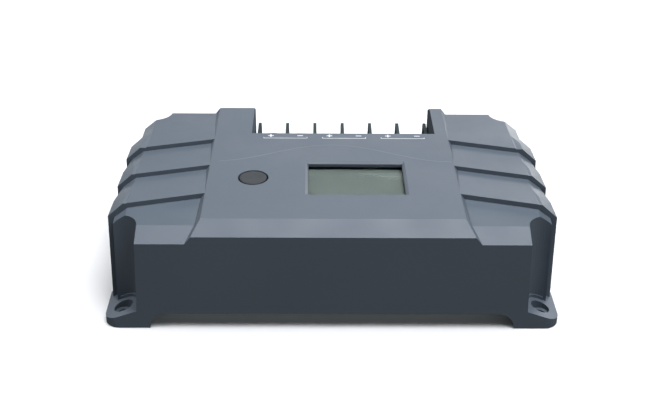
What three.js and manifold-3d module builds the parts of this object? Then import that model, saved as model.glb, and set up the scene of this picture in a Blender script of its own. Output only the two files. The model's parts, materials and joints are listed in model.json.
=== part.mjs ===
// Charge controller: a moulded cover with shingled flanks over a finned aluminium base,
// a round push button, a recessed display and a bay with six screw terminals.
// Millimetres, +Z up out of the display, +X to the right, the terminal bay at +Y.
// The group's origin is under the middle of the feet; the pieces are drawn from the near wall's foot.

import * as THREE from 'three';
import { ConvexGeometry } from 'three/addons/geometries/ConvexGeometry.js';
import { mergeVertices } from 'three/addons/utils/BufferGeometryUtils.js';
import Module from 'manifold-3d';

const wasm = await Module();
wasm.setup();

// ---- Driving dimensions -------------------------------------------------------------------------

const DEPTH = 120;              // near wall to far wall
const TOP = 48.8;               // height of the middle plate
const GAP = 0.3;                // clearance between neighbouring pieces
const WALL = 2.4;               // cover wall
const OVER = 4;                 // how far hidden ends run into their neighbour

const PLATE = { half: 53.6, flare: 0.82, bevel: 7.6, bevelDrop: 4.3, foot: 36, pinch: 2.5 };
const LOW = { near: 41.2, crease: 45.5, far: 45.8, farEdge: 41.5 };  // heights of the lower flanks
const STEP = 2.0;               // height of a riser between two shingles
const RISER_Y = [78.6, 53.45, 28.3];
const RISER_SKEW = 0.275;       // how much a riser leans towards the near side per mm outwards
const BEND = 86.5;              // where a shingle's top turns down
const RIM = { x: 92.8, z: 44.0, run: 12 };       // lower edge of the turned-down part
const SUNK = { bend: 85, x: 90.2, drop: 3.4 };   // the same, at a shingle's low end
// A shingle's lobe is rounded at its shoulder and at its rim.
const LOBE = { shoulder: 0.62, fall: 0.5, inset: 0.5, lip: 0.2 };
const SINK = 10;                // length over which a shingle's edge sinks below its lobe
const REAR = { bend: 83.5, x: 88.5, drop: 3.2, y: 98.7, cornerY: 103.8, crease: 46.4 };
const REAR_LOBE_START = { bend: [REAR.bend, 86, TOP - 1.2], rim: [REAR.x, 90, RIM.z] };
const DRAFT = 1.5;              // outward lean of the side walls, top to bottom
const ROOM = {                  // the cover's inside: how far its corners stand off the outer ones
  crease: 1.0, edge: 1.2, flankCrease: 1.5, flankLow: 2.3, flankTop: 1.2, flankX: 2.6, flankZ: 3.4,
  footX: 1.3, fall: 3.8, cornerY: 0.4, sideY: 4.9, cornerX: 4.4,
};

const CORNER = { x: 86.6, y: 7.5, near: 7.0, far: 9.5, taper: 0.3, lean: 1.4, high: 45, low: 8 };
const LEDGE = { width: 0.7, high: 1.4 };         // half ring at a corner recess's foot
const EAR = { half: 95.5, round: 6.3, inner: 78, end: 22, z: 8.3, atX: 81.5, slope: 0.365 };
const EAR_HOLE = { x: 88, y: 7.5, r: 2.4, boreR: 3.95, floor: 2.6 };
const ARCH = { half: 76.2, height: 7.2 };       // the vent under the near and far walls

const BAY = { left: -36.9, right: 48.0, y: 84.9, sill: 16.0, roof: 17.6 };
const DISPLAY = { left: -11.6, right: 32.0, near: 27.4, far: 57.5, bevel: 1.15, bevelDrop: 1.0 };
const BUTTON = { x: -34.1, y: 42.0, hole: 6.6, cap: 6.2, top: 48.9, flange: 7.7, high: 4.0 };
const CROWN = { drop: 0.5, shoulder: 0.2, narrow: 0.15, round: 0.5 };  // the cap's rounded upper edge

const BASE = { z: 9.0, thick: 3.0, half: 84, waist: 75.6, ends: 3.0, near: 22.4, far: 93.5 };
const FIN = { half: 72, pitch: 7.2, thick: 1.6, foot: 2.0, ends: 14, root: 1.0 };
const BOSS = { x: 79, y: [26, 88], r: 4, bore: 30 };
const COVER_SCREW = { shaft: 1.5, length: 18, head: 2.9, headHigh: 2.2 };
const HEAD_TAPER = 0.82;        // a screw head's top radius to its rim
const RECESS = { long: 1.1, wide: 0.26 };       // a screw's cross recess, to the head's radius

const BOARD = { half: 73, near: 21.5, far: 116.6, z: 14.5, thick: 1.6, holeX: 68, holeY: [27, 78] };
const BOARD_SCREW = { shaft: 1.3, length: 6, head: 2.7, headHigh: 2 };
const STANDOFF = { r: 3.2, floor: 0.8 };
const DECK = BOARD.z + BOARD.thick + GAP;       // where parts stand on the main board
const BED = BASE.z + BASE.thick + GAP;          // where parts lie on the base

const PANEL_BOARD = { left: -53, right: 42, near: 20, far: 64, z: 39.0, thick: 1.6 };
const PANEL_TOP = PANEL_BOARD.z + PANEL_BOARD.thick + GAP;
const PANEL_SCREWS = [[-49, 60], [38, 24]];
const PANEL_SCREW = { shaft: 1.1, length: 6, head: 2.2, headHigh: 1.6, boss: 2.8 };
const LENS = { left: -13.6, right: 34.0, near: 25.4, far: 59.5, top: 45.8, thick: 1.0 };
const CELL_TOP = LENS.top - LENS.thick - GAP;
const TRAY = { wall: 1.5, floor: 1.2 };         // the frame around the display's layers
const SWITCH = { half: 3, high: 2.7, floor: 0.4, bore: 2.0, plunger: 1.6, stroke: 2.0 };

const PAD = { half: 62, near: 3.6, far: 20.6, thick: 0.5 };
const TRANSISTOR = { x: [-45, -15, 15, 45], y: 19.4, half: 5, body: 8, high: 4.4, tab: 15.4, tabHigh: 1.3 };
const TRANSISTOR_HOLE = { y: -11.8, r: 1.8 };
const LEGS = { pitch: 2.54, half: 0.4, z: 2.2, step: 1.1, thick: 0.6, end: 4.6, foot: 3.7, top: 4.2 };
const CAPACITOR = { x: [-58, 58], y: 50, r: 8, high: 21.8, groove: [1.6, 2.1, 2.6], waist: 0.5, round: 0.6 };
const FUSE = { x: [-22, 2], y: 75, half: 9.5, deep: 2.5, z: 2, high: 12, cap: [7, 1.8, 13] };
const FUSE_BLADE = { inner: 3, outer: 8.2, half: 0.4 };
const SHUNT = { x: 30, y: 76, half: 9, deep: 2, leg: 2, high: 6, thick: 1.4 };
const CHIP = { x: 4, y: 52, half: 6, z: 0.2, high: 1.6 };
const CHIP_LEG = { rows: 7, pitch: 1.5, half: 0.3, span: 7.4, high: 0.5 };
const BUZZER = { x: -54, y: 72, r: 6, high: 7.5, hole: 1.1, deep: 2 };
const DIODE = { x: 54, y: 74, half: 7.8, deep: 2.4, z: 4, high: 24, hole: [1.8, 18.5, 21.5] };
const DIODE_LEG = { pitch: 5.4, half: 0.6, deep: 0.35 };
const SENSOR = { x: 34, y: 34, r: 2.2, squash: 0.7, z: 5.2, leg: [0.9, 1.5, 0.3], high: 5 };
const LINK = { x: -20, y: 26, pins: 8, pitch: 2.54, half: 10.4, deep: 1.3, body: 2.6, pin: 0.32 };

const CELL = { first: -34.7, pitch: 13.5, count: 6, y: 108 };
const FENCE = { thick: 1.5, footThick: 2.2, near: 90, far: 117.2, top: 38.6 };
const BLOCK = { near: 86.2, far: 118.6, floor: 21.7, back: 2.4, top: 37.2, well: 0.6 };
const BAR = { z: 22.0, thick: 3.0, width: 9.6, near: 90, far: 117, tail: [2.9, 2, 7] };
const CLAMP = { z: 29.7, thick: 1.8, width: 9.6, length: 10, jaw: 1.4, hollow: 0.5 };
const SCREW = { head: 4.3, headHigh: 3.2, shaft: 2.0, end: 21.0 };
const LIFT = [1.5, 0.4, 0, 0, 0, 0];      // how far each screw stands undone

const ROUND = 20;               // sides of a small round
const FINE = 36;                // sides of a round in plain view
const COARSE = 12;              // sides of a hidden round
const BEYOND = 60;              // a cutting tool's end, clear of every piece

// ---- Solids -------------------------------------------------------------------------------------

function solid(geometry) {
  const bare = new THREE.BufferGeometry();
  bare.setAttribute('position', geometry.getAttribute('position').clone());
  if (geometry.index) bare.setIndex(geometry.index.clone());
  const merged = mergeVertices(bare, 1e-4);
  return new wasm.Manifold(new wasm.Mesh({
    numProp: 3,
    vertProperties: Float32Array.from(merged.getAttribute('position').array),
    triVerts: Uint32Array.from(merged.index.array),
  }));
}

function geometryOf(body) {
  const mesh = body.getMesh();
  const geometry = new THREE.BufferGeometry();
  geometry.setAttribute('position', new THREE.BufferAttribute(Float32Array.from(mesh.vertProperties), 3));
  geometry.setIndex(new THREE.BufferAttribute(Uint32Array.from(mesh.triVerts), 1));
  geometry.computeVertexNormals();
  return geometry;
}

function box(x0, x1, y0, y1, z0, z1) {
  const geometry = new THREE.BoxGeometry(x1 - x0, y1 - y0, z1 - z0);
  return solid(geometry.translate((x0 + x1) / 2, (y0 + y1) / 2, (z0 + z1) / 2));
}

function drum(x, y, z0, z1, radius, topRadius = radius, sides = ROUND) {
  const geometry = new THREE.CylinderGeometry(topRadius, radius, z1 - z0, sides);
  return solid(geometry.rotateX(Math.PI / 2).translate(x, y, (z0 + z1) / 2));
}

function hull(points) {
  return solid(new ConvexGeometry(points.map((p) => new THREE.Vector3(...p))));
}

function prism(outline, z0, z1) {
  const shape = new THREE.Shape(outline.map(([x, y]) => new THREE.Vector2(x, y)));
  const geometry = new THREE.ExtrudeGeometry(shape, { depth: z1 - z0, bevelEnabled: false });
  return solid(geometry.translate(0, 0, z0));
}

function join(bodies) {
  return bodies.reduce((sum, body) => sum.add(body));
}

function cut(body, tools) {
  return tools.reduce((rest, tool) => rest.subtract(tool), body);
}

function flip(points) {
  return points.map(([x, y, z]) => [-x, y, z]);
}

function bothSides(points) {
  return [hull(points), hull(flip(points))];
}

function arc(x, y, radius, from, to, steps) {
  return Array.from({ length: steps + 1 }, (_, i) => {
    const angle = from + (to - from) * i / steps;
    return [x + radius * Math.cos(angle), y + radius * Math.sin(angle)];
  });
}

// ---- Cover --------------------------------------------------------------------------------------

function riserY(index, x) {
  return RISER_Y[index] - RISER_SKEW * (x - PLATE.half);
}

function plateHalf(z) {
  return PLATE.half + (TOP - z) * PLATE.flare;
}

// The raised middle block: bevelled at both ends, its flanks flaring outwards and then upright.
function plateSolid() {
  const edge = TOP - PLATE.bevelDrop;
  const side = [
    [plateHalf(PLATE.foot), 0, 0],
    [plateHalf(PLATE.foot), 0, PLATE.foot],
    [plateHalf(edge), 0, edge],
    [PLATE.half, PLATE.bevel, TOP],
    [PLATE.half, DEPTH - PLATE.bevel, TOP],
    [plateHalf(edge) - PLATE.pinch, DEPTH, edge],
    [plateHalf(PLATE.foot) - PLATE.pinch, DEPTH, PLATE.foot],
    [plateHalf(PLATE.foot) - PLATE.pinch, DEPTH, 0],
  ];
  return hull([...side, ...flip(side)]);
}

// A wall line leaning outwards from its upper edge to the ground.
function leaning(x, y, z) {
  return [[x, y, z], [x + DRAFT, y, 0]];
}

// A shingle's long wedge. It is flush with the plate at its near end and one step lower at its far end.
function shingleCore(index) {
  const inner = PLATE.half - OVER;
  const bend = SUNK.bend;
  const rise = STEP / (RISER_Y[index - 1] - RISER_Y[index]);
  const farZ = TOP - STEP - rise * OVER;
  const near = (x) => riserY(index, x);
  const far = (x) => riserY(index - 1, x) + OVER;
  return [
    [inner, near(inner), 0], [inner, near(inner), TOP], [bend, near(bend), TOP],
    ...leaning(SUNK.x, near(SUNK.x), TOP - SUNK.drop),
    [inner, far(inner), 0], [inner, far(inner), farZ], [bend, far(bend), farZ],
    ...leaning(SUNK.x, far(SUNK.x), farZ - SUNK.drop),
  ];
}

// The outer lobe of a shingle's near end, standing out past the next shingle.
function shingleLobe(index, start) {
  const near = (x) => riserY(index, x);
  const rimY = near(RIM.x) + RIM.run;
  const shoulder = [BEND, near(BEND) + RIM.run * LOBE.shoulder, TOP - LOBE.fall];
  return [
    start.bend, ...leaning(...start.rim),
    shoulder, [BEND, near(BEND), TOP],
    ...leaning(RIM.x - LOBE.inset, rimY, RIM.z), ...leaning(RIM.x, near(RIM.x), RIM.z - LOBE.lip),
    [PLATE.half, near(PLATE.half), RIM.z], [PLATE.half, near(PLATE.half), 0],
    [BEND - OVER, start.bend[1], RIM.z], [BEND - OVER, start.bend[1], 0],
  ];
}

function lobeStart(index) {
  const far = (x) => riserY(index - 1, x);
  const sinking = SINK / (RISER_Y[index - 1] - RISER_Y[index]);
  return {
    bend: [SUNK.bend, far(SUNK.bend) - SINK, TOP - STEP * (1 - sinking)],
    rim: [SUNK.x, far(SUNK.x), TOP - STEP - SUNK.drop],
  };
}

// The farthest shingle runs on to the far bevel and narrows in two stages.
function rearCore() {
  const inner = PLATE.half - OVER;
  const near = (x) => riserY(0, x);
  const crease = DEPTH - PLATE.bevel;
  return [
    [inner, near(inner), 0], [inner, near(inner), TOP], [REAR.bend, near(REAR.bend), TOP],
    ...leaning(REAR.x, near(REAR.x), TOP - REAR.drop),
    ...leaning(REAR.x, REAR.y, RIM.z), [REAR.bend, REAR.cornerY, REAR.crease],
    [REAR.bend + DRAFT, REAR.cornerY, 0],
    [inner, crease, LOW.far], [REAR.bend - OVER, crease, LOW.far],
    [inner, DEPTH, LOW.farEdge], [REAR.bend - OVER, DEPTH, LOW.farEdge],
    [inner, DEPTH, 0], [REAR.bend - OVER, DEPTH, 0],
  ];
}

// The nearest flank falls to its own bevel and ends in the near wall.
function nearCore() {
  const inner = PLATE.half - OVER;
  const last = RISER_Y.length - 1;
  const far = (x) => riserY(last, x) + OVER;
  const footZ = TOP - STEP;
  const points = [];
  for (const [x, drop] of [[inner, 0], [SUNK.bend, 0], [SUNK.x, SUNK.drop]]) {
    points.push([x, far(x), footZ - drop], [x, PLATE.bevel, LOW.crease - drop], [x, 0, LOW.near - drop]);
  }
  const wall = SUNK.x + DRAFT;
  return [...points, [inner, far(inner), 0], [inner, 0, 0], [wall, 0, 0], [wall, far(wall), 0]];
}

// The tapered recess above a fixing ear, open to the wall beside it and to the side. It leans outwards
// as it goes down, as the side walls do.
function cornerRecess(side, isFar, grow) {
  const top = (isFar ? CORNER.far : CORNER.near) + grow;
  const fall = CORNER.high - CORNER.low;
  const round = [];
  const block = [];
  for (const z of [-OVER, BEYOND]) {
    const down = (CORNER.high - z) / fall;
    const radius = top - down * CORNER.taper;
    const x = CORNER.x + down * CORNER.lean;
    const rim = arc(x, CORNER.y, radius, 0, Math.PI, FINE / 2);
    const outline = [...rim, [x - radius, -OVER], [x + radius, -OVER]];
    round.push(...outline.map(([px, py]) => atCorner(side, isFar, px, py, z)));
    for (const px of [x, EAR.half + OVER]) {
      block.push(...[-OVER, CORNER.y + grow].map((py) => atCorner(side, isFar, px, py, z)));
    }
  }
  return hull(round).add(hull(block));
}

function atCorner(side, isFar, x, y, z) {
  return [side * x, isFar ? DEPTH - y : y, z];
}

function earTop(x) {
  return EAR.z - EAR.slope * (x - EAR.atX);
}

// A corner block whose top falls away outwards, from the inner line to an outline's outer points.
function slopedBlock(side, isFar, outline, lift) {
  return hull(outline.flatMap(([x, y]) => [
    atCorner(side, isFar, x, y, 0),
    atCorner(side, isFar, x, y, earTop(x) + lift),
  ]));
}

// A fixing ear with a rounded corner.
function ear(side, isFar) {
  const centre = EAR.half - EAR.round;
  const corner = arc(centre, EAR.round, EAR.round, -Math.PI / 2, 0, 8);
  return slopedBlock(side, isFar, [[EAR.inner, 0], ...corner, [EAR.half, EAR.end], [EAR.inner, EAR.end]], 0);
}

// The half ring that steps out of the recess's wall where the ear's top meets it.
function ledge(side, isFar) {
  const radius = (isFar ? CORNER.far : CORNER.near) - CORNER.taper;
  const ring = (r) => arc(CORNER.x + CORNER.lean, CORNER.y, r, 0, Math.PI, FINE / 2);
  const outer = slopedBlock(side, isFar, ring(radius + WALL / 2), LEDGE.high);
  const sideLip = box(-SUNK.x, SUNK.x, 0, DEPTH, 0, BEYOND);
  return outer.subtract(slopedBlock(side, isFar, ring(radius - LEDGE.width), EAR.end)).intersect(sideLip);
}

function earHole(side, isFar) {
  const [x, y] = atCorner(side, isFar, EAR_HOLE.x, EAR_HOLE.y, 0);
  const through = drum(x, y, -OVER, EAR_HOLE.floor + OVER, EAR_HOLE.r);
  return through.add(drum(x, y, EAR_HOLE.floor, EAR.end, EAR_HOLE.boreR, EAR_HOLE.boreR, FINE));
}

function eachCorner(make) {
  return [1, -1].flatMap((side) => [false, true].map((isFar) => make(side, isFar)));
}

// Points of the room at its near and far ends, from each end's wall and crease.
function roomEnds(standOff, points) {
  const ends = [[WALL, PLATE.bevel + standOff], [DEPTH - WALL, DEPTH - PLATE.bevel - standOff]];
  return ends.flatMap(([wall, crease]) => points(wall, crease));
}

// The room inside the cover, open at the bottom.
function cavity() {
  const ceiling = TOP - WALL;
  const narrow = PLATE.half - WALL;
  const middle = roomEnds(ROOM.crease, (wall, crease) => [
    [narrow, crease, ceiling],
    [narrow, wall, ceiling - PLATE.bevelDrop + ROOM.edge],
    [narrow, wall, -OVER],
  ]);
  const low = LOW.crease - ROOM.flankLow;
  const top = REAR.bend - ROOM.flankTop;
  const x = REAR.x - ROOM.flankX;
  const z = RIM.z - ROOM.flankZ;
  const footX = REAR.x - ROOM.footX;
  const flank = roomEnds(ROOM.flankCrease, (wall, crease) => [
    [top, crease, low], [x, crease, z], [footX, crease, -OVER],
    [top, wall, low - ROOM.fall], [x, wall, z - ROOM.fall], [footX, wall, -OVER],
  ]);
  const flanks = hull([...flank, ...flip(flank)]).intersect(prism(roomPlan(), -OVER, TOP));
  const room = hull([...middle, ...flip(middle)]).add(flanks);
  const kept = eachCorner((side, isFar) => cornerRecess(side, isFar, WALL));
  kept.push(box(BAY.left - WALL, BAY.right + WALL, BAY.y - WALL, DEPTH + OVER, BAY.roof, BEYOND));
  for (const [bossX, bossY] of bossPlaces()) kept.push(drum(bossX, bossY, BED, BEYOND, BOSS.r));
  for (const [bossX, bossY] of PANEL_SCREWS) {
    kept.push(drum(bossX, bossY, PANEL_TOP, BEYOND, PANEL_SCREW.boss));
  }
  return cut(room, kept);
}

// The flanks' room seen from above, its far corners following the narrowing rear shingle.
function roomPlan() {
  const cornerY = REAR.cornerY - ROOM.cornerY;
  const sideY = REAR.y - ROOM.sideY;
  const cornerX = REAR.bend - ROOM.cornerX;
  return [[-REAR.x, WALL], [REAR.x, WALL], [REAR.x, sideY], [cornerX, cornerY], [cornerX, DEPTH],
    [-cornerX, DEPTH], [-cornerX, cornerY], [-REAR.x, sideY]];
}

// The vent under the near and far walls, between the feet.
function archTool() {
  const flat = ARCH.half - ARCH.height;
  const outline = [[-ARCH.half, -OVER], [ARCH.half, -OVER],
    ...arc(flat, 0, ARCH.height, 0, Math.PI / 2, 10),
    ...arc(-flat, 0, ARCH.height, Math.PI / 2, Math.PI, 10)];
  const geometry = new THREE.ExtrudeGeometry(
    new THREE.Shape(outline.map(([x, z]) => new THREE.Vector2(x, z))),
    { depth: DEPTH + 2 * OVER, bevelEnabled: false },
  );
  return solid(geometry.rotateX(Math.PI / 2).translate(0, DEPTH + OVER, 0));
}

function displayOpening() {
  const { left, right, near, far, bevel, bevelDrop } = DISPLAY;
  const rim = (grow, z) => [[left - grow, near - grow, z], [right + grow, near - grow, z],
    [left - grow, far + grow, z], [right + grow, far + grow, z]];
  const slope = bevel / bevelDrop;
  const bevelled = hull([...rim(-bevel, TOP - bevelDrop), ...rim(slope, TOP + 1)]);
  const well = hull([...rim(-bevel, TOP - PLATE.bevel), ...rim(-bevel, TOP)]);
  return bevelled.add(well);
}

function coverSolid() {
  const shells = [plateSolid(), ...bothSides(rearCore()), ...bothSides(nearCore())];
  shells.push(...bothSides(shingleLobe(0, REAR_LOBE_START)));
  for (let index = 1; index < RISER_Y.length; index += 1) {
    shells.push(...bothSides(shingleCore(index)), ...bothSides(shingleLobe(index, lobeStart(index))));
  }
  const outside = cut(join(shells), eachCorner((s, isFar) => cornerRecess(s, isFar, 0)));
  const eared = outside.subtract(cavity()).add(join([...eachCorner(ear), ...eachCorner(ledge)]));
  const tools = [
    archTool(),
    box(BAY.left, BAY.right, BAY.y, DEPTH + OVER, BAY.sill, BEYOND),
    displayOpening(),
    drum(BUTTON.x, BUTTON.y, TOP - PLATE.bevel, BEYOND, BUTTON.hole, BUTTON.hole, FINE),
    ...eachCorner(earHole),
  ];
  for (const [x, y] of bossPlaces()) tools.push(drum(x, y, 0, BOSS.bore, COVER_SCREW.shaft + GAP));
  for (const [x, y] of PANEL_SCREWS) {
    tools.push(drum(x, y, PANEL_BOARD.z, TOP - WALL, PANEL_SCREW.shaft + GAP));
  }
  return cut(eared, tools);
}

// ---- Base and its screws ------------------------------------------------------------------------

function boardHoles() {
  return BOARD.holeY.flatMap((y) => [[BOARD.holeX, y], [-BOARD.holeX, y]]);
}

function bossPlaces() {
  return BOSS.y.flatMap((y) => [[BOSS.x, y], [-BOSS.x, y]]);
}

function baseSolid() {
  const { z, thick, half, waist, ends, near, far } = BASE;
  const top = z + thick;
  let body = box(-waist, waist, ends, DEPTH - ends, z, top);
  body = body.add(box(-half, half, near, far, z, top));
  for (let x = -FIN.half; x <= FIN.half + GAP; x += FIN.pitch) {
    const left = x - FIN.thick / 2;
    body = body.add(box(left, left + FIN.thick, FIN.ends, DEPTH - FIN.ends, FIN.foot, z + FIN.root));
  }
  const bores = bossPlaces().map(([x, y]) => drum(x, y, 0, BEYOND, COVER_SCREW.shaft + GAP));
  const taps = boardHoles().map(([x, y]) => drum(x, y, z + STANDOFF.floor, BEYOND, BOARD_SCREW.shaft + GAP));
  return cut(body, [...bores, ...taps]);
}

// A pan-head screw standing on its tip, head up, its head's underside at the origin.
function machineScrew({ shaft, length, head, headHigh }) {
  const stem = drum(0, 0, -length, headHigh / 2, shaft, shaft, COARSE);
  const blank = stem.add(drum(0, 0, 0, headHigh, head, head * HEAD_TAPER));
  const slots = [0, Math.PI / 2].map((turn) => {
    const blade = new THREE.BoxGeometry(head * RECESS.long, head * RECESS.wide, headHigh);
    return solid(blade.rotateZ(turn).translate(0, 0, headHigh));
  });
  return cut(blank, slots);
}

// ---- Boards and electronics ---------------------------------------------------------------------

// A box of given half widths, standing on a height.
function block(halfX, halfY, z0, z1) {
  return box(-halfX, halfX, -halfY, halfY, z0, z1);
}

// A body and its mirror image to the left.
function pair(left, right, halfY, z0, z1) {
  return [box(left, right, -halfY, halfY, z0, z1), box(-right, -left, -halfY, halfY, z0, z1)];
}

function boardSolid() {
  const { half, near, far, z, thick } = BOARD;
  const hole = BOARD_SCREW.shaft + GAP;
  const body = box(-half, half, near, far, z, z + thick);
  return cut(body, boardHoles().map(([x, y]) => drum(x, y, 0, BEYOND, hole, hole, COARSE)));
}

function standoffSolid() {
  const high = BOARD.z - BASE.z - BASE.thick - 2 * GAP;
  const hole = BOARD_SCREW.shaft + GAP;
  const six = new THREE.CylinderGeometry(STANDOFF.r, STANDOFF.r, high, 6);
  return solid(six.rotateX(Math.PI / 2)).subtract(drum(0, 0, -high, high, hole, hole, COARSE));
}

function panelBoardSolid() {
  const { left, right, near, far, z, thick } = PANEL_BOARD;
  const hole = PANEL_SCREW.shaft + GAP;
  const body = box(left, right, near, far, z, z + thick);
  return cut(body, PANEL_SCREWS.map(([x, y]) => drum(x, y, 0, BEYOND, hole, hole, COARSE)));
}

// A flat power transistor lying on its tab, three legs stepping up over the board's edge.
function transistorSolid() {
  const { half, body, high, tab, tabHigh } = TRANSISTOR;
  const leg = LEGS;
  const parts = [box(-half, half, -body, 1, 0, high), box(-half, half, -tab, -body, 0, tabHigh)];
  for (const x of [-leg.pitch, 0, leg.pitch]) {
    const stepEnd = leg.step + leg.thick;
    parts.push(box(x - leg.half, x + leg.half, leg.step - leg.thick, stepEnd, leg.z, leg.z + leg.thick));
    parts.push(box(x - leg.half, x + leg.half, leg.step, stepEnd, leg.z, leg.top));
    parts.push(box(x - leg.half, x + leg.half, leg.step, leg.end, leg.foot, leg.top));
  }
  return join(parts).subtract(drum(0, TRANSISTOR_HOLE.y, -1, tabHigh + 1, TRANSISTOR_HOLE.r));
}

function capacitorSolid() {
  const { r, high, groove, waist, round } = CAPACITOR;
  const profile = [[0, 0], [r, 0], [r, groove[0]], [r - waist, groove[1]], [r, groove[2]],
    [r, high - round], [r - round, high], [0, high]];
  const lathe = new THREE.LatheGeometry(profile.map(([x, h]) => new THREE.Vector2(x, h)), ROUND);
  return solid(lathe.rotateX(Math.PI / 2));
}

function fuseSolid() {
  const [capHalf, capDeep, capTop] = FUSE.cap;
  const { inner, outer, half } = FUSE_BLADE;
  return join([
    block(FUSE.half, FUSE.deep, FUSE.z, FUSE.high),
    block(capHalf, capDeep, FUSE.high - 1, capTop),
    ...pair(inner, outer, half, 0, FUSE.z + 1),
  ]);
}

function shuntSolid() {
  const { half, deep, leg, high, thick } = SHUNT;
  return join([block(half, deep, high - thick, high), ...pair(half - leg, half, deep, 0, high)]);
}

function chipSolid() {
  const parts = [block(CHIP.half, CHIP.half, CHIP.z, CHIP.high)];
  const { rows, pitch, half, span, high } = CHIP_LEG;
  for (let i = 0; i < rows; i += 1) {
    const x = (i - (rows - 1) / 2) * pitch;
    parts.push(box(x - half, x + half, -span, span, 0, high));
  }
  return join(parts);
}

function buzzerSolid() {
  const { r, high, hole, deep } = BUZZER;
  return drum(0, 0, 0, high, r).subtract(drum(0, 0, high - deep, BEYOND, hole, hole, COARSE));
}

function diodeSolid() {
  const leg = DIODE_LEG;
  const legs = [-leg.pitch, 0, leg.pitch].map((x) => (
    box(x - leg.half, x + leg.half, -leg.deep, leg.deep, 0, DIODE.z + 1)
  ));
  const [holeHalf, holeLow, holeHigh] = DIODE.hole;
  const body = block(DIODE.half, DIODE.deep, DIODE.z, DIODE.high);
  return join([body, ...legs]).subtract(block(holeHalf, DIODE.deep + 1, holeLow, holeHigh));
}

function sensorSolid() {
  const ball = new THREE.SphereGeometry(SENSOR.r, 10, 6).scale(1, SENSOR.squash, 1);
  const [inner, outer, deep] = SENSOR.leg;
  return join([solid(ball.translate(0, 0, SENSOR.z)), ...pair(inner, outer, deep, 0, SENSOR.high)]);
}

// A pin header between the two boards: a strip at each end and the pins between them.
function linkSolid() {
  const { pins, pitch, half, deep, body, pin } = LINK;
  const high = PANEL_BOARD.z - DECK - GAP;
  const parts = [block(half, deep, 0, body), block(half, deep, high - body, high)];
  for (let i = 0; i < pins; i += 1) {
    const x = (i - (pins - 1) / 2) * pitch;
    parts.push(box(x - pin, x + pin, -pin, pin, 1, high - 1));
  }
  return join(parts);
}

// ---- Display and button -------------------------------------------------------------------------

function lensBlock(inset, z0, z1) {
  const { left, right, near, far } = LENS;
  return box(left + inset, right - inset, near + inset, far - inset, z0, z1);
}

function lcdFrameSolid() {
  return lensBlock(0, PANEL_TOP, CELL_TOP).subtract(lensBlock(TRAY.wall, PANEL_TOP + TRAY.floor, BEYOND));
}

function lcdPanelSolid() {
  return lensBlock(TRAY.wall + GAP, PANEL_TOP + TRAY.floor + GAP, CELL_TOP);
}

// A shallow crowned cap on a wider flange that the cover keeps in.
function buttonCapSolid() {
  const { cap, top, flange, high } = BUTTON;
  const under = top - high;
  const seat = TOP - WALL - GAP;
  const profile = [[0, under], [flange, under], [flange, seat], [cap, seat], [cap, top - CROWN.drop],
    [cap - CROWN.narrow, top - CROWN.shoulder], [cap - CROWN.round, top], [0, top]];
  const lathe = new THREE.LatheGeometry(profile.map(([r, h]) => new THREE.Vector2(r, h)), FINE);
  return solid(lathe.rotateX(Math.PI / 2));
}

function switchBodySolid() {
  const body = block(SWITCH.half, SWITCH.half, PANEL_TOP, PANEL_TOP + SWITCH.high);
  return body.subtract(drum(0, 0, PANEL_TOP + SWITCH.floor, BEYOND, SWITCH.bore, SWITCH.bore, COARSE));
}

function plungerSolid() {
  const top = BUTTON.top - BUTTON.high - GAP;
  return drum(0, 0, top - SWITCH.stroke, top, SWITCH.plunger, SWITCH.plunger, COARSE);
}

// ---- Terminals ----------------------------------------------------------------------------------

function cellX(index) {
  return CELL.first + CELL.pitch * (index + 0.5);
}

// A tapered wall between two terminals.
function fence(index) {
  const x = CELL.first + CELL.pitch * index;
  const thin = FENCE.thick / 2;
  const thick = FENCE.footThick / 2;
  const points = [];
  for (const y of [FENCE.near, FENCE.far]) {
    points.push([x - thin, y, FENCE.top], [x + thin, y, FENCE.top]);
    points.push([x - thick, y, BLOCK.floor - 1], [x + thick, y, BLOCK.floor - 1]);
  }
  return hull(points);
}

// The terminals' moulded body: a floor, a back wall and the fences, with a well under each screw.
function blockSolid() {
  const left = CELL.first - FENCE.footThick / 2;
  const right = CELL.first + CELL.pitch * CELL.count + FENCE.footThick / 2;
  const parts = [
    box(left, right, BLOCK.near, BLOCK.far, DECK, BLOCK.floor),
    box(left, right, BLOCK.near, BLOCK.near + BLOCK.back, DECK, BLOCK.top),
  ];
  for (let i = 0; i <= CELL.count; i += 1) {
    const rib = CELL.first + CELL.pitch * i - FENCE.thick / 2;
    parts.push(fence(i), box(rib, rib + FENCE.thick, BLOCK.near, FENCE.near + 1, DECK, BLOCK.top));
  }
  const well = SCREW.shaft + BLOCK.well;
  const wells = [];
  for (let i = 0; i < CELL.count; i += 1) {
    wells.push(drum(cellX(i), CELL.y, DECK - 1, BLOCK.floor + 1, well, well, COARSE));
  }
  return cut(join(parts), wells);
}

// A contact bar with an upright solder tail at its near end.
function barSolid() {
  const half = BAR.width / 2;
  const hole = SCREW.shaft + GAP;
  const [tailHalf, tailDeep, tailHigh] = BAR.tail;
  const body = box(-half, half, BAR.near, BAR.far, BAR.z, BAR.z + BAR.thick);
  const tail = box(-tailHalf, tailHalf, BAR.near, BAR.near + tailDeep, BAR.z, BAR.z + tailHigh);
  return body.add(tail).subtract(drum(0, CELL.y, 0, BEYOND, hole, hole, COARSE));
}

// The pressure plate under a screw head, its two ends turned down over the wire.
function clampSolid() {
  const half = CLAMP.width / 2;
  const long = CLAMP.length / 2;
  const hole = SCREW.shaft + GAP;
  const plate = block(half, long, 0, CLAMP.thick);
  const hollow = block(half + 1, long - CLAMP.jaw, -1, CLAMP.hollow);
  return plate.subtract(drum(0, 0, -1, CLAMP.thick + 1, hole, hole, COARSE)).subtract(hollow);
}

function terminalScrewSolid() {
  return machineScrew({ ...SCREW, length: CLAMP.z + CLAMP.thick + GAP - SCREW.end });
}

// ---- Materials and assembly ---------------------------------------------------------------------

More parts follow.
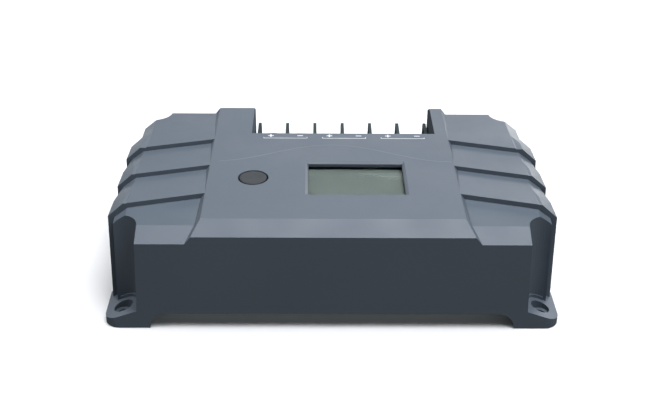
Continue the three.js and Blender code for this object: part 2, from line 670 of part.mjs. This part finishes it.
function finish(color, roughness, metalness = 0) {
  return { color, roughness, metalness };
}

const FINISH = {
  cover: finish(0x5c6672, 0.55),
  aluminium: finish(0xa9adb0, 0.4, 1),
  steel: finish(0xb9bcc0, 0.28, 1),
  brass: finish(0xc2a35a, 0.3, 1),
  board: finish(0x1e5a38, 0.5),
  black: finish(0x1c2226, 0.5),
  block: finish(0x2b343a, 0.5),
  lens: finish(0xc9d2cc, 0.08),
  display: finish(0x7d8982, 0.35),
  button: finish(0x555c61, 0.6),
  silicone: finish(0x9aa3a8, 0.8),
  sleeve: finish(0x22324e, 0.45),
  fuse: finish(0xc98a1c, 0.35),
};

const controller = new THREE.Group();
const assembly = new THREE.Group();
assembly.position.set(0, -DEPTH / 2, 0);
controller.add(assembly);

function place(name, body, look, x = 0, y = 0, z = 0, tilt = 0) {
  const mesh = new THREE.Mesh(geometryOf(body), new THREE.MeshStandardMaterial(FINISH[look]));
  mesh.name = name;
  mesh.position.set(x, y, z);
  mesh.rotation.x = tilt;
  assembly.add(mesh);
}

place('top_cover', coverSolid(), 'cover');
place('base_heatsink', baseSolid(), 'aluminium');
bossPlaces().forEach(([x, y], i) => {
  place(`cover_screw_${i + 1}`, machineScrew(COVER_SCREW), 'steel', x, y, BASE.z - GAP, Math.PI);
});

place('main_board', boardSolid(), 'board');
boardHoles().forEach(([x, y], i) => {
  place(`board_standoff_${i + 1}`, standoffSolid(), 'brass', x, y, (BASE.z + BASE.thick + BOARD.z) / 2);
  place(`board_screw_${i + 1}`, machineScrew(BOARD_SCREW), 'steel', x, y, DECK);
});

place('thermal_pad', box(-PAD.half, PAD.half, PAD.near, PAD.far, 0, PAD.thick), 'silicone', 0, 0, BED);
TRANSISTOR.x.forEach((x, i) => {
  place(`power_transistor_${i + 1}`, transistorSolid(), 'black', x, TRANSISTOR.y, BED + PAD.thick + GAP);
});
CAPACITOR.x.forEach((x, i) => {
  place(`capacitor_${i + 1}`, capacitorSolid(), 'sleeve', x, CAPACITOR.y, DECK);
});
FUSE.x.forEach((x, i) => place(`fuse_${i + 1}`, fuseSolid(), 'fuse', x, FUSE.y, DECK));
place('current_shunt', shuntSolid(), 'brass', SHUNT.x, SHUNT.y, DECK);
place('microcontroller', chipSolid(), 'black', CHIP.x, CHIP.y, DECK);
place('buzzer', buzzerSolid(), 'black', BUZZER.x, BUZZER.y, DECK);
place('blocking_diode', diodeSolid(), 'black', DIODE.x, DIODE.y, DECK);
place('temperature_sensor', sensorSolid(), 'black', SENSOR.x, SENSOR.y, DECK);
place('board_link', linkSolid(), 'black', LINK.x, LINK.y, DECK);

place('display_board', panelBoardSolid(), 'board');
PANEL_SCREWS.forEach(([x, y], i) => {
  place(`display_screw_${i + 1}`, machineScrew(PANEL_SCREW), 'steel', x, y, PANEL_BOARD.z - GAP, Math.PI);
});
place('lcd_frame', lcdFrameSolid(), 'black');
place('lcd_panel', lcdPanelSolid(), 'display');
place('lcd_window', lensBlock(0, LENS.top - LENS.thick, LENS.top), 'lens');
place('switch_body', switchBodySolid(), 'black', BUTTON.x, BUTTON.y);
place('switch_plunger', plungerSolid(), 'black', BUTTON.x, BUTTON.y);
place('button_cap', buttonCapSolid(), 'button', BUTTON.x, BUTTON.y);

place('terminal_block', blockSolid(), 'block');
for (let i = 0; i < CELL.count; i += 1) {
  const clampZ = CLAMP.z + LIFT[i];
  const seatZ = clampZ + CLAMP.thick + GAP;
  place(`contact_bar_${i + 1}`, barSolid(), 'brass', cellX(i));
  place(`wire_clamp_${i + 1}`, clampSolid(), 'steel', cellX(i), CELL.y, clampZ);
  place(`terminal_screw_${i + 1}`, terminalScrewSolid(), 'steel', cellX(i), CELL.y, seatZ);
}

export default controller;
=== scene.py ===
import json
import math

import bmesh
import bpy
from mathutils import Matrix, Vector


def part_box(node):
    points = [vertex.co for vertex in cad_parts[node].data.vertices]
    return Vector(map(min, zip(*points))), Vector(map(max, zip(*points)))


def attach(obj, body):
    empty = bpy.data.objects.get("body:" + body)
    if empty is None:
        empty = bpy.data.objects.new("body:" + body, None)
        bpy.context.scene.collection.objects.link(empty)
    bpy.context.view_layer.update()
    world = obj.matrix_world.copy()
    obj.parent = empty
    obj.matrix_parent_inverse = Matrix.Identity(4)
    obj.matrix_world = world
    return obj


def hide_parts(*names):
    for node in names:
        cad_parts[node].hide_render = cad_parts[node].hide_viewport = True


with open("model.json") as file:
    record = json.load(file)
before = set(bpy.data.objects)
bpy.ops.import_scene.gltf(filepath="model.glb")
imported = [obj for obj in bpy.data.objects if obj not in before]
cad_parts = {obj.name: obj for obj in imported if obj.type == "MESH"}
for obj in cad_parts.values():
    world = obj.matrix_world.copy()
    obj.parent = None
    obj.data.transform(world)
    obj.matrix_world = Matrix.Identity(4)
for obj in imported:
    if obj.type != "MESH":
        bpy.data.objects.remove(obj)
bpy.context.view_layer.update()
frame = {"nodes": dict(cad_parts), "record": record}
nodes = frame["nodes"]

# ---- Driving dimensions: millimetres, apart from the stage, which is in metres -------------------

MM = 0.001

ROUNDED_EDGES = {
    "top_cover": 0.45, "terminal_block": 0.2, "base_heatsink": 0.25, "main_board": 0.1, "thermal_pad": 0.1,
}
SMALL_PARTS = ("wire_clamp", "contact_bar", "power_transistor", "fuse")
SMALL_PARTS_EDGE = 0.15

# Depths are below the button's highest point, and "shade" is where its plastic goes from dark painted
# shade, for the gap round the cap, to pale.
BUTTON = {
    "radius": 5.95, "rim": 0.65, "dish": 0.10, "lip": 2.55, "fillet": 0.2,
    "flange_radius": 7.6, "flange_depth": 3.9, "shade": (0.30, 0.16),
}

# The head's and the shaft's are radii, "high" is the head's height and "pitch" the thread's.
TERMINAL_SCREW = {"head": 4.25, "high": 3.2, "shaft": 2.0, "pitch": 0.8, "upright": True}
COVER_SCREW = {"head": 2.85, "high": 2.2, "shaft": 1.5, "pitch": 1.0, "upright": False}

# Print on the plate: a sign for each terminal, a bracket for each circuit's pair, and a thin wave.
INK = 0.03
SIGN = {"size": 2.6, "line": 0.6, "y": 22.4}
PAIR = {"y": 19.9, "line": 0.3, "rise": 1.0, "reach": 3.2}
WAVE = {"left": -50, "right": 53, "middle": 5, "swing": 8, "line": 0.32}

FLOOR = {"half_width": 4.0, "z": -0.0002}
# The camera's angles are in degrees, and its lens and sensor in millimetres as usual.
CAMERA = {
    "place": (-0.00740, -0.42568, 0.27161), "pitch": 30.365, "yaw": 0.910, "roll": 0.659,
    "lens": 58.9, "sensor": 36, "clip": (0.01, 20),
}
# The room's light grows along "towards", between two strengths that it has at the two slopes.
ROOM = {
    "towards": (0.52, -0.42, -0.74), "slopes": (-0.25, 0.8), "strengths": (0.02, 0.32),
    "color": (0.92, 0.97, 1.0),
}
# Each light's place, width and height, watts and colour.
LIGHTS = {
    "top_light": ((0.28, -0.15, 1.2), 0.9, 0.9, 24, (0.93, 0.95, 1.0)),
    "far_light": ((0.25, 1.25, 0.52), 1.0, 0.4, 3.6, (1, 1, 1)),
    "left_light": ((-0.8, -0.1, 0.85), 0.7, 0.7, 5, (1, 1, 1)),
    "right_rim": ((0.75, 1.2, 0.12), 0.5, 0.3, 4.2, (1, 1, 1)),
    "left_rim": ((-0.75, 1.2, 0.2), 0.5, 0.35, 1.6, (1, 1, 1)),
}


# ---- Mesh helpers ------------------------------------------------------------------------------

def piece(name, mesh, body, material, smooth=0):
    """A new visible piece from a bmesh, riding on a CAD body and smooth below an angle in degrees."""
    bmesh.ops.recalc_face_normals(mesh, faces=mesh.faces)
    data = bpy.data.meshes.new(name)
    mesh.to_mesh(data)
    mesh.free()
    data.materials.append(material)
    obj = bpy.data.objects.new(name, data)
    bpy.context.scene.collection.objects.link(obj)
    if smooth:
        data.shade_smooth()
        data.set_sharp_from_angle(angle=math.radians(smooth))
    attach(obj, body)
    return obj


def lathe(outline, place, sides):
    """A solid of revolution about a vertical line. The outline runs (radius, height), axis to axis."""
    mesh = bmesh.new()
    turns = [2 * math.pi * i / sides for i in range(sides)]
    rings = []
    for radius, height in outline:
        around = turns if radius else turns[:1]
        points = [place + Vector((radius * math.cos(t), radius * math.sin(t), height)) for t in around]
        rings.append([mesh.verts.new(point) for point in points])
    for low, high in zip(rings, rings[1:]):
        for i in range(sides):
            j = (i + 1) % sides
            corners = [low[i % len(low)], low[j % len(low)], high[j % len(high)], high[i % len(high)]]
            mesh.faces.new(list(dict.fromkeys(corners)))
    return mesh


def rounded(radius, height, round_off, steps=5):
    """The outline points of a rounded rim, from its side up to its top."""
    return [(radius - round_off * (1 - math.cos(a)), height - round_off * (1 - math.sin(a)))
            for a in (math.pi / 2 * i / steps for i in range(steps + 1))]


def add_block(mesh, low, high, taper=0.0):
    """A box between two corners, its lower face smaller by the taper all round."""
    corners = []
    for z, inset in ((low[2], taper), (high[2], 0.0)):
        left, right = low[0] + inset, high[0] - inset
        near, far = low[1] + inset, high[1] - inset
        plan = ((left, near), (right, near), (right, far), (left, far))
        corners += [mesh.verts.new((x, y, z)) for x, y in plan]
    for face in ((3, 2, 1, 0), (4, 5, 6, 7), (0, 1, 5, 4), (1, 2, 6, 5), (2, 3, 7, 6), (3, 0, 4, 7)):
        mesh.faces.new([corners[i] for i in face])


def add_strip(mesh, line, width, low, high):
    """A flat strip of even width along a line of (x, y) points."""
    sides = []
    for i, (x, y) in enumerate(line):
        before, after = line[max(i - 1, 0)], line[min(i + 1, len(line) - 1)]
        along = Vector((after[0] - before[0], after[1] - before[1], 0)).normalized()
        across = Vector((-along.y, along.x, 0)) * width / 2
        sides.append([mesh.verts.new(Vector((x, y, z)) + side * across)
                      for z, side in ((low, 1), (low, -1), (high, -1), (high, 1))])
    for first, second in zip(sides, sides[1:]):
        for i in range(4):
            mesh.faces.new((first[i], first[(i + 1) % 4], second[(i + 1) % 4], second[i]))
    mesh.faces.new(sides[0])
    mesh.faces.new(list(reversed(sides[-1])))


def carve(mesh, cutter):
    """Takes the cutter away from the mesh and returns what is left."""
    objects = []
    for part in (mesh, cutter):
        bmesh.ops.recalc_face_normals(part, faces=part.faces)
        data = bpy.data.meshes.new("carving")
        part.to_mesh(data)
        part.free()
        objects.append(bpy.data.objects.new("carving", data))
        bpy.context.scene.collection.objects.link(objects[-1])
    body, tool = objects
    boolean = body.modifiers.new("cut", "BOOLEAN")
    boolean.operation = "DIFFERENCE"
    boolean.solver = "EXACT"
    boolean.object = tool
    evaluated = body.evaluated_get(bpy.context.evaluated_depsgraph_get())
    left = bmesh.new()
    left.from_mesh(evaluated.to_mesh())
    evaluated.to_mesh_clear()
    for obj in objects:
        data = obj.data
        bpy.data.objects.remove(obj)
        bpy.data.meshes.remove(data)
    return left


def soften(obj, width, segments, merge_flats):
    """Rounds an object's edges with modifiers only: its own mesh stays as it is."""
    weld = obj.modifiers.new("weld", "WELD")
    weld.merge_threshold = 2e-6
    if merge_flats:
        flat = obj.modifiers.new("flat", "DECIMATE")
        flat.decimate_type = "DISSOLVE"
        flat.angle_limit = math.radians(0.6)
    bevel = obj.modifiers.new("bevel", "BEVEL")
    bevel.width = width * MM
    bevel.segments = segments
    bevel.limit_method = "ANGLE"
    bevel.angle_limit = math.radians(28)
    bevel.miter_outer = "MITER_ARC"
    bevel.use_clamp_overlap = True
    bevel.harden_normals = True


def centre(node):
    low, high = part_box(node)
    return (low + high) / 2


# ---- Node helpers ------------------------------------------------------------------------------

class NodeTree:
    """A short way to write a node tree."""

    def __init__(self, tree):
        self.tree = tree

    def add(self, kind, inputs=None, **settings):
        """A new node. Each of its inputs gets a value, or a link from another node's output."""
        node = self.tree.nodes.new(kind)
        for key, value in settings.items():
            setattr(node, key, value)
        for key, value in (inputs or {}).items():
            if isinstance(value, bpy.types.NodeSocket):
                self.tree.links.new(value, node.inputs[key])
            else:
                node.inputs[key].default_value = value
        return node

    def ramp(self, source, low, high, at=(0.35, 0.65)):
        """The source carried from the span "at" over to the span from low to high."""
        limits = {"From Min": at[0], "From Max": at[1], "To Min": low, "To Max": high}
        return self.add("ShaderNodeMapRange", {"Value": source, **limits}).outputs["Result"]


class Look(NodeTree):
    """A material's node tree around one Principled shader."""

    # The Mix node keeps sockets for every type of data. These are its factor and its colours.
    MIX_INPUTS = (0, 6, 7)
    MIX_OUTPUT = 2

    def __init__(self, name, color, roughness, metallic=0.0):
        self.material = bpy.data.materials.new(name)
        self.material.use_nodes = True
        super().__init__(self.material.node_tree)
        self.shader = self.tree.nodes["Principled BSDF"]
        self.set("Base Color", (*color, 1))
        self.set("Roughness", roughness)
        self.set("Metallic", metallic)
        self.place = self.add("ShaderNodeTexCoord").outputs["Object"]

    def set(self, name, value):
        self.shader.inputs[name].default_value = value

    def link(self, source, name):
        self.tree.links.new(source, self.shader.inputs[name])

    def noise(self, scale, detail, stretch=(1, 1, 1)):
        mapping = self.add("ShaderNodeMapping", {"Vector": self.place, "Scale": stretch})
        inputs = {"Vector": mapping.outputs["Vector"], "Scale": scale, "Detail": detail}
        return self.add("ShaderNodeTexNoise", inputs).outputs["Fac"]

    def mix(self, factor, first, second):
        """A colour between two, which are colours or outputs."""
        colors = [(*color, 1) if isinstance(color, tuple) else color for color in (first, second)]
        inputs = dict(zip(self.MIX_INPUTS, (factor, *colors)))
        return self.add("ShaderNodeMix", inputs, data_type="RGBA").outputs[self.MIX_OUTPUT]

    def drift(self, source, color, vary):
        """The colour, a little darker and lighter as the source goes."""
        darker, lighter = (tuple(channel * (1 + way * vary) for channel in color) for way in (-1, 1))
        return self.mix(source, darker, lighter)

    def bump(self, height, depth):
        """The normal of a surface with bumps of a depth in millimetres."""
        return self.add("ShaderNodeBump", {"Height": height, "Distance": depth * MM}).outputs["Normal"]


def moulded_plastic(name, color, roughness, grain, grain_size=0.35, gloss=0.5):
    """Injection-moulded plastic: an etched grain, slow colour drift and patches of polish."""
    look = Look(name, color, roughness)
    look.set("Specular IOR Level", gloss)
    look.link(look.drift(look.noise(28, 4), color, 0.08), "Base Color")
    look.link(look.ramp(look.noise(55, 5), roughness - 0.05, roughness + 0.05), "Roughness")
    look.link(look.bump(look.noise(1 / (grain_size * MM), 2), grain), "Normal")
    return look.material


def metal(name, color, roughness, stretch=(1, 1, 1)):
    """Worked metal: fine lines along one direction, and tarnish that dulls it in patches."""
    look = Look(name, color, roughness, 1.0)
    look.link(look.drift(look.noise(120, 5), color, 0.06), "Base Color")
    look.link(look.ramp(look.noise(240, 4, stretch), roughness - 0.08, roughness + 0.1), "Roughness")
    look.link(look.bump(look.noise(900, 3, stretch), 0.004), "Normal")
    return look.material


def button_with_painted_gap_shade(crown_color, gap_shade_color):
    """The button's plastic: its own grey on the crown, and painted shade that darkens it down in its gap.
    """
    look = Look("button_plastic", crown_color, 0.7)
    look.set("Specular IOR Level", 0.35)
    height = look.add("ShaderNodeSeparateXYZ", {"Vector": look.place}).outputs["Z"]
    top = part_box("button_cap")[1].z
    # Painted shade: below these depths the plastic turns near black, as the gap round the cap is in shade.
    crown = look.ramp(height, 0.0, 1.0, [top - depth * MM for depth in BUTTON["shade"]])
    worn = look.drift(look.noise(70, 4), crown_color, 0.07)
    look.link(look.mix(crown, gap_shade_color, worn), "Base Color")
    look.link(look.ramp(look.noise(160, 4), 0.62, 0.76), "Roughness")
    look.link(look.bump(look.noise(1 / (0.25 * MM), 2), 0.008), "Normal")
    return look.material


def clear_window():
    """A thin clear pane, polished and with little shine."""
    look = Look("clear_window", (0.9, 0.95, 0.92), 0.035)
    look.set("Transmission Weight", 1.0)
    look.set("IOR", 1.12)
    look.set("Specular IOR Level", 0.05)
    look.link(look.ramp(look.noise(90, 3), 0.02, 0.05), "Roughness")
    return look.material


# ---- Materials ---------------------------------------------------------------------------------

# The second colour is painted shade for the button's gap, not the plastic's own colour.
button_plastic = button_with_painted_gap_shade((0.038, 0.043, 0.046), (0.005, 0.006, 0.007))
steel = metal("steel", (0.48, 0.49, 0.50), 0.40)
mark_ink = moulded_plastic("mark_ink", (0.74, 0.76, 0.78), 0.6, grain=0.003)
wave_ink = moulded_plastic("wave_ink", (0.165, 0.185, 0.21), 0.55, grain=0.003)

SLOT_LOOKS = {
    "cover": moulded_plastic("cover_plastic", (0.090, 0.112, 0.138), 0.52, grain=0.012),
    "button": button_plastic,
    "terminal_plastic": moulded_plastic(
        "block_plastic", (0.022, 0.036, 0.040), 0.6, grain=0.006, gloss=0.2),
    "black_plastic": moulded_plastic("black_plastic", (0.018, 0.020, 0.022), 0.5, grain=0.006),
    "aluminium": metal("aluminium", (0.60, 0.61, 0.62), 0.38, stretch=(1, 0.02, 1)),
    "steel": steel,
    "clamp_steel": metal("clamp_steel", (0.36, 0.36, 0.35), 0.58, stretch=(0.1, 1, 1)),
    "brass": metal("brass", (0.44, 0.34, 0.17), 0.58, stretch=(1, 0.1, 1)),
    "board": moulded_plastic("board_green", (0.018, 0.12, 0.05), 0.35, grain=0.004, grain_size=1.2),
    "silicone": moulded_plastic("pad_silicone", (0.32, 0.36, 0.38), 0.75, grain=0.01),
    "sleeve": moulded_plastic("sleeve_film", (0.03, 0.05, 0.12), 0.3, grain=0.002),
    "fuse": moulded_plastic("fuse_amber", (0.60, 0.25, 0.01), 0.3, grain=0.002),
    "display": moulded_plastic("display_film", (0.136, 0.151, 0.142), 0.75, grain=0.0002),
    "window": clear_window(),
}
for row in frame["record"]["subparts"]:
    node = nodes[row["node"]]
    node.data.materials.clear()
    node.data.materials.append(SLOT_LOOKS[row["material_slot"]])

for name, node in nodes.items():
    is_cover = name == "top_cover"
    if name.startswith(SMALL_PARTS):
        soften(node, SMALL_PARTS_EDGE, 2, merge_flats=False)
    elif name in ROUNDED_EDGES:
        soften(node, ROUNDED_EDGES[name], 3 if is_cover else 2, merge_flats=is_cover)


# ---- Button ------------------------------------------------------------------------------------

def button():
    """A dished cap over a wide flange, which keeps it in the cover."""
    middle = centre("button_cap")
    place = Vector((middle.x, middle.y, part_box("button_cap")[1].z))
    radius, lip, dish, fillet, flange, depth = (
        BUTTON[key] * MM for key in ("radius", "lip", "dish", "fillet", "flange_radius", "flange_depth"))
    outline = [(0, -depth), (flange, -depth), (flange, -lip - fillet)]
    outline += [(radius + fillet, -lip - fillet), (radius, -lip)]
    outline += rounded(radius, 0, BUTTON["rim"] * MM)
    outline += [(radius * (0.8 - 0.2 * i), -dish * 0.25 * i) for i in range(4)]
    outline += [(0, -dish)]
    cap = lathe(outline, place, 96)
    crowned = piece("button_cap_crowned", cap, "button", button_plastic, 40)
    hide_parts("button_cap")


button()


# ---- Screws ------------------------------------------------------------------------------------

def screw_outline(head, high, shaft, pitch, length):
    """From the tip up the threads to the crown. The head's underside is at height 0."""
    core, crest, plain_stretch = shaft * 0.83, shaft * 0.98, 2
    outline = [(0, -length), (shaft * 0.7, -length), (shaft * 0.82, -length + pitch / 2)]
    for turn in range(int((length - plain_stretch) / pitch)):
        root = -length + pitch * (turn + 0.7)
        outline += [(core, root), (crest, root + pitch * 0.4), (crest, root + pitch * 0.5)]
    outline += [(shaft * 0.9, -0.6), (crest, -0.4), (crest, 0)]
    outline += [(head * 0.97, 0), (head, 0.12), (head, high * 0.35)]
    outline += rounded(head, high * 0.93, high * 0.58)
    return outline + [(head * 0.45, high * 0.985), (0, high)]


def carve_drive(blank, head, high):
    """Cuts a slot right across the head, and a deeper, shorter one across that."""
    half_width, short, across = head * 0.13 * MM, head * 0.6 * MM, head * 1.2 * MM
    shallow, deep, above = high * 0.62 * MM, high * 0.5 * MM, (high + 1) * MM
    slot = bmesh.new()
    add_block(slot, (-across, -half_width, shallow), (across, half_width, above))
    cross = bmesh.new()
    add_block(cross, (-half_width, -short, deep), (half_width, short, above), half_width * 0.3)
    return carve(carve(blank, slot), cross)


def screw(node, body, head, high, shaft, pitch, upright):
    """A pan-head screw with a combined cross and slot, standing where its CAD node stands."""
    low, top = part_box(node)
    middle = centre(node)
    outline = screw_outline(head, high, shaft, pitch, (top.z - low.z) / MM - high)
    blank = lathe([(r * MM, h * MM) for r, h in outline], Vector(), 56)
    made = carve_drive(blank, head, high)
    turn = Matrix.Identity(4) if upright else Matrix.Rotation(math.pi, 4, "X")
    seat = top.z - high * MM if upright else low.z + high * MM
    made.transform(Matrix.Translation((middle.x, middle.y, seat)) @ turn)
    turned = piece(f"{node}_turned", made, body, steel, 32)
    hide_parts(node)


for number in range(1, 7):
    screw(f"terminal_screw_{number}", f"screw_{number}", **TERMINAL_SCREW)
for number in range(1, 5):
    screw(f"cover_screw_{number}", "housing", **COVER_SCREW)


# ---- Print on the plate ------------------------------------------------------------------------

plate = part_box("top_cover")[1].z
INK_HEIGHTS = (plate - INK * MM, plate + INK * MM)
CELLS = [centre(f"terminal_screw_{number}").x for number in range(1, 7)]


def terminal_signs():
    """A plus and a minus in turn, one for each terminal."""
    mesh = bmesh.new()
    half, line, y = SIGN["size"] / 2 * MM, SIGN["line"] * MM, SIGN["y"] * MM
    for i, x in enumerate(CELLS):
        add_strip(mesh, [(x - half, y), (x + half, y)], line, *INK_HEIGHTS)
        if i % 2 == 0:
            for side in (-1, 1):
                add_strip(mesh, [(x, y + side * line / 2), (x, y + side * half)], line, *INK_HEIGHTS)
    piece("terminal_signs", mesh, "housing", mark_ink)


def circuit_brackets():
    """A bracket under each pair of terminals."""
    mesh = bmesh.new()
    line, base, tip = PAIR["line"] * MM, PAIR["y"] * MM, (PAIR["y"] + PAIR["rise"]) * MM
    for first, second in zip(CELLS[0::2], CELLS[1::2]):
        left, right = first - PAIR["reach"] * MM, second + PAIR["reach"] * MM
        corners = [(left, tip), (left, base), (right, base), (right, tip)]
        for start, end in zip(corners, corners[1:]):
            add_strip(mesh, [start, end], line, *INK_HEIGHTS)
    piece("circuit_brackets", mesh, "housing", mark_ink)


def wave_line(steps=72):
    """One long wave across the plate, highest at the middle."""
    mesh = bmesh.new()
    left, right = WAVE["left"], WAVE["right"]
    xs = [left + (right - left) * i / steps for i in range(steps + 1)]
    line = [(x * MM, (WAVE["middle"] + WAVE["swing"] * math.cos(math.pi * x / right)) * MM) for x in xs]
    add_strip(mesh, line, WAVE["line"] * MM, *INK_HEIGHTS)
    piece("wave_line", mesh, "housing", wave_ink)


terminal_signs()
circuit_brackets()
wave_line()


# ---- Stage -------------------------------------------------------------------------------------

def floor_sheet():
    """A sheet of pale paper, just under the feet, that throws no light back onto the object."""
    look = Look("floor_paper", (0.88, 0.88, 0.88), 0.9)
    look.link(look.mix(look.noise(3, 2), (0.87, 0.87, 0.87), (0.89, 0.89, 0.89)), "Base Color")
    mesh = bmesh.new()
    bmesh.ops.create_grid(mesh, x_segments=4, y_segments=4, size=FLOOR["half_width"])
    data = bpy.data.meshes.new("floor")
    mesh.to_mesh(data)
    mesh.free()
    data.materials.append(look.material)
    obj = bpy.data.objects.new("floor", data)
    bpy.context.scene.collection.objects.link(obj)
    obj.location.z = FLOOR["z"]
    obj.visible_diffuse = False
    obj.visible_glossy = False


def softbox(name, place, width, height, power, color):
    """A soft light that faces the middle of the floor."""
    data = bpy.data.lights.new(name, "AREA")
    data.shape = "RECTANGLE"
    data.size = width
    data.size_y = height
    data.energy = power
    data.color = color
    obj = bpy.data.objects.new(name, data)
    bpy.context.scene.collection.objects.link(obj)
    obj.location = place
    obj.rotation_euler = (-Vector(place)).to_track_quat("-Z", "Y").to_euler()


def studio_room():
    """An even room that grows brighter to the right, the near side and below."""
    world = bpy.data.worlds.new("studio")
    bpy.context.scene.world = world
    world.use_nodes = True
    sky = NodeTree(world.node_tree)
    direction = sky.add("ShaderNodeTexCoord").outputs["Generated"]
    slope = sky.add("ShaderNodeVectorMath", {0: direction, 1: ROOM["towards"]}, operation="DOT_PRODUCT")
    strength = sky.ramp(slope.outputs["Value"], *ROOM["strengths"], at=ROOM["slopes"])
    background = sky.tree.nodes["Background"]
    background.inputs["Color"].default_value = (*ROOM["color"], 1)
    sky.tree.links.new(strength, background.inputs["Strength"])


def camera():
    """Looks down at 30 degrees from the near side, a little left of the middle."""
    pitch, yaw, roll = (math.radians(CAMERA[key]) for key in ("pitch", "yaw", "roll"))
    ahead = math.cos(pitch)
    forward = Vector((math.sin(yaw) * ahead, math.cos(yaw) * ahead, -math.sin(pitch)))
    level = Vector((math.cos(yaw), -math.sin(yaw), 0))
    upright = level.cross(forward)
    right = math.cos(roll) * level + math.sin(roll) * upright
    up = math.cos(roll) * upright - math.sin(roll) * level
    data = bpy.data.cameras.new("camera")
    data.lens = CAMERA["lens"]
    data.sensor_width = CAMERA["sensor"]
    data.clip_start, data.clip_end = CAMERA["clip"]
    obj = bpy.data.objects.new("camera", data)
    bpy.context.scene.collection.objects.link(obj)
    turn = Matrix((right, up, -forward)).transposed().to_4x4()
    obj.matrix_world = Matrix.Translation(CAMERA["place"]) @ turn
    bpy.context.scene.camera = obj


floor_sheet()
for name, settings in LIGHTS.items():
    softbox(name, *settings)
studio_room()
bpy.context.scene.view_settings.view_transform = "Standard"
camera()
